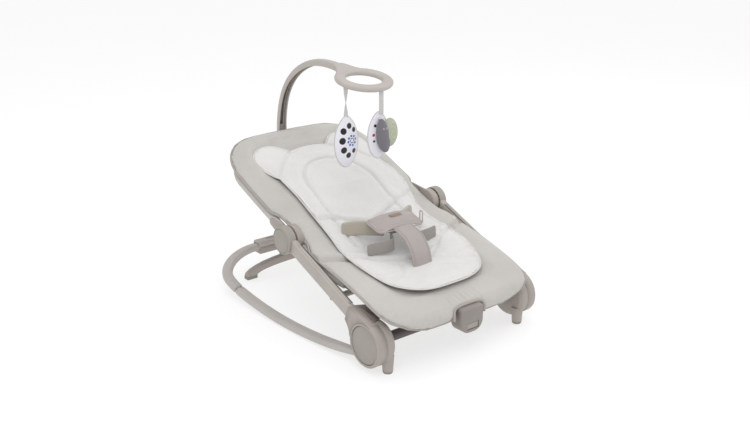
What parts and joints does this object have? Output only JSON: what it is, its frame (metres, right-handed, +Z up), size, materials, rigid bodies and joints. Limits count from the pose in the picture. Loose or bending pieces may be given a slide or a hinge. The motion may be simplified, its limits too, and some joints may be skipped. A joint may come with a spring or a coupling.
{
  "type": "bouncer seat",
  "caption": "Rocking baby bouncer seat with folding tube frame, reclining padded back, quilted liner, harness, vibration unit and a tilting toy bar.",
  "frame": {"origin": "on the floor, under the middle of the whole object's box", "axes": "+Z up, +Y from the foot end to the head end, +X across the seat"},
  "size_m": [0.4846, 0.699, 0.5445],
  "materials": {
    "taupe_plastic": "fine satin moulded texture",
    "dark_taupe_plastic": "satin moulded",
    "painted_tube": "satin powder coat",
    "steel": "plain zinc-plated",
    "rubber": "matte",
    "beige_fabric": "soft woven cover with piping",
    "white_fabric": "quilted knitted liner",
    "taupe_webbing": "sewn pad",
    "grey_webbing": "woven belt",
    "toy_white": "printed plush",
    "toy_grey": "plush",
    "battery_grey": "wrapped cell"
  },
  "bodies": {
    "base": {"rail_left": "painted_tube", "rail_right": "painted_tube", "rear_cross_tube": "painted_tube", "bracket_upper": "taupe_plastic", "bracket_lower": "taupe_plastic", "foot_pin": "steel", "housing_inner_left": "taupe_plastic", "housing_inner_right": "taupe_plastic", "peg_foot_left": "rubber", "peg_foot_right": "rubber", "rail_lug_left": "dark_taupe_plastic", "rail_lug_right": "dark_taupe_plastic", "fold_bolt_left": "steel", "fold_bolt_right": "steel", "front_cross_tube": "dark_taupe_plastic"},
    "rear_foot": {"stabiliser_foot": "taupe_plastic", "stabiliser_pad_left": "rubber", "stabiliser_pad_right": "rubber"},
    "seat_frame": {"housing_outer_left": "taupe_plastic", "housing_outer_right": "taupe_plastic", "strut_left": "painted_tube", "strut_right": "painted_tube", "hub_shell_left": "taupe_plastic", "hub_shell_right": "taupe_plastic", "seat_support_bar": "painted_tube", "seat_tube": "painted_tube", "seat_cushion": "beige_fabric", "liner_seat": "white_fabric", "fold_spring_left": "steel", "fold_spring_right": "steel", "hub_spring_left": "steel", "hub_spring_right": "steel", "crotch_pad": "taupe_webbing", "harness_buckle": "dark_taupe_plastic", "waist_belt_left": "grey_webbing", "waist_belt_right": "grey_webbing", "unit_front": "dark_taupe_plastic", "unit_back": "dark_taupe_plastic", "unit_motor": "steel", "unit_battery": "battery_grey"},
    "backrest": {"recline_plate_left": "steel", "recline_plate_right": "steel", "backrest_tube": "painted_tube", "backrest_cushion": "beige_fabric", "liner_back": "white_fabric", "bar_socket": "taupe_plastic", "bar_pin": "steel"},
    "toy_bar": {"bar_arm": "taupe_plastic", "toy_ring": "taupe_plastic"},
    "left_toy": {"toy_strap_left": "white_fabric", "toy_leaf_left": "toy_white"},
    "front_toy": {"toy_strap_front": "white_fabric", "toy_snail": "toy_grey"},
    "left_fold_button": {"fold_button_left": "dark_taupe_plastic"},
    "right_fold_button": {"fold_button_right": "dark_taupe_plastic"},
    "left_hub_button": {"hub_button_left": "dark_taupe_plastic"},
    "right_hub_button": {"hub_button_right": "dark_taupe_plastic"},
    "harness_button": {"buckle_button": "dark_taupe_plastic"},
    "switch_button": {"unit_button": "taupe_plastic"},
    "motor_weight": {"unit_weight": "steel"}
  },
  "joints": [
    {"name": "frame_fold", "type": "hinge", "parent": "base", "child": "seat_frame", "pos_m": [0, -0.2695, 0.06], "axis": [1, 0, 0], "range_deg": [-17, 0]},
    {"name": "backrest_recline", "type": "hinge", "parent": "seat_frame", "child": "backrest", "pos_m": [0, 0.0125, 0.201], "axis": [1, 0, 0], "range_deg": [0, 28]},
    {"name": "toy_bar_tilt", "type": "hinge", "parent": "backrest", "child": "toy_bar", "pos_m": [0, 0.3365, 0.312], "axis": [1, 0, 0], "range_deg": [-80, 0]},
    {"name": "left_toy_swing", "type": "hinge", "parent": "toy_bar", "child": "left_toy", "pos_m": [-0.056, 0.0025, 0.513], "axis": [1, 0, 0], "range_deg": [-22, 22]},
    {"name": "front_toy_swing", "type": "hinge", "parent": "toy_bar", "child": "front_toy", "pos_m": [0.003, -0.0455, 0.5055], "axis": [1, 0, 0], "range_deg": [-22, 22]},
    {"name": "rear_foot_swing", "type": "hinge", "parent": "base", "child": "rear_foot", "pos_m": [0, 0.2855, 0.047], "axis": [1, 0, 0], "range_deg": [0, 90]},
    {"name": "left_fold_press", "type": "slide", "parent": "seat_frame", "child": "left_fold_button", "axis": [1, 0, 0], "range_m": [0, 0.004], "stiffness_N_per_m": 800, "springref_m": -0.002},
    {"name": "right_fold_press", "type": "slide", "parent": "seat_frame", "child": "right_fold_button", "axis": [-1, 0, 0], "range_m": [0, 0.004], "stiffness_N_per_m": 800, "springref_m": -0.002},
    {"name": "left_hub_press", "type": "slide", "parent": "seat_frame", "child": "left_hub_button", "axis": [1, 0, 0], "range_m": [0, 0.003], "stiffness_N_per_m": 600, "springref_m": -0.002},
    {"name": "right_hub_press", "type": "slide", "parent": "seat_frame", "child": "right_hub_button", "axis": [-1, 0, 0], "range_m": [0, 0.003], "stiffness_N_per_m": 600, "springref_m": -0.002},
    {"name": "harness_press", "type": "slide", "parent": "seat_frame", "child": "harness_button", "axis": [0, 0, 1], "range_m": [0, 0.0025], "stiffness_N_per_m": 600, "springref_m": -0.001},
    {"name": "switch_press", "type": "slide", "parent": "seat_frame", "child": "switch_button", "axis": [0, 1, 0], "range_m": [0, 0.0015], "stiffness_N_per_m": 600, "springref_m": -0.001},
    {"name": "motor_spin", "type": "hinge", "parent": "seat_frame", "child": "motor_weight", "pos_m": [0, -0.326, 0.069], "axis": [1, 0, 0], "continuous": true}
  ]
}
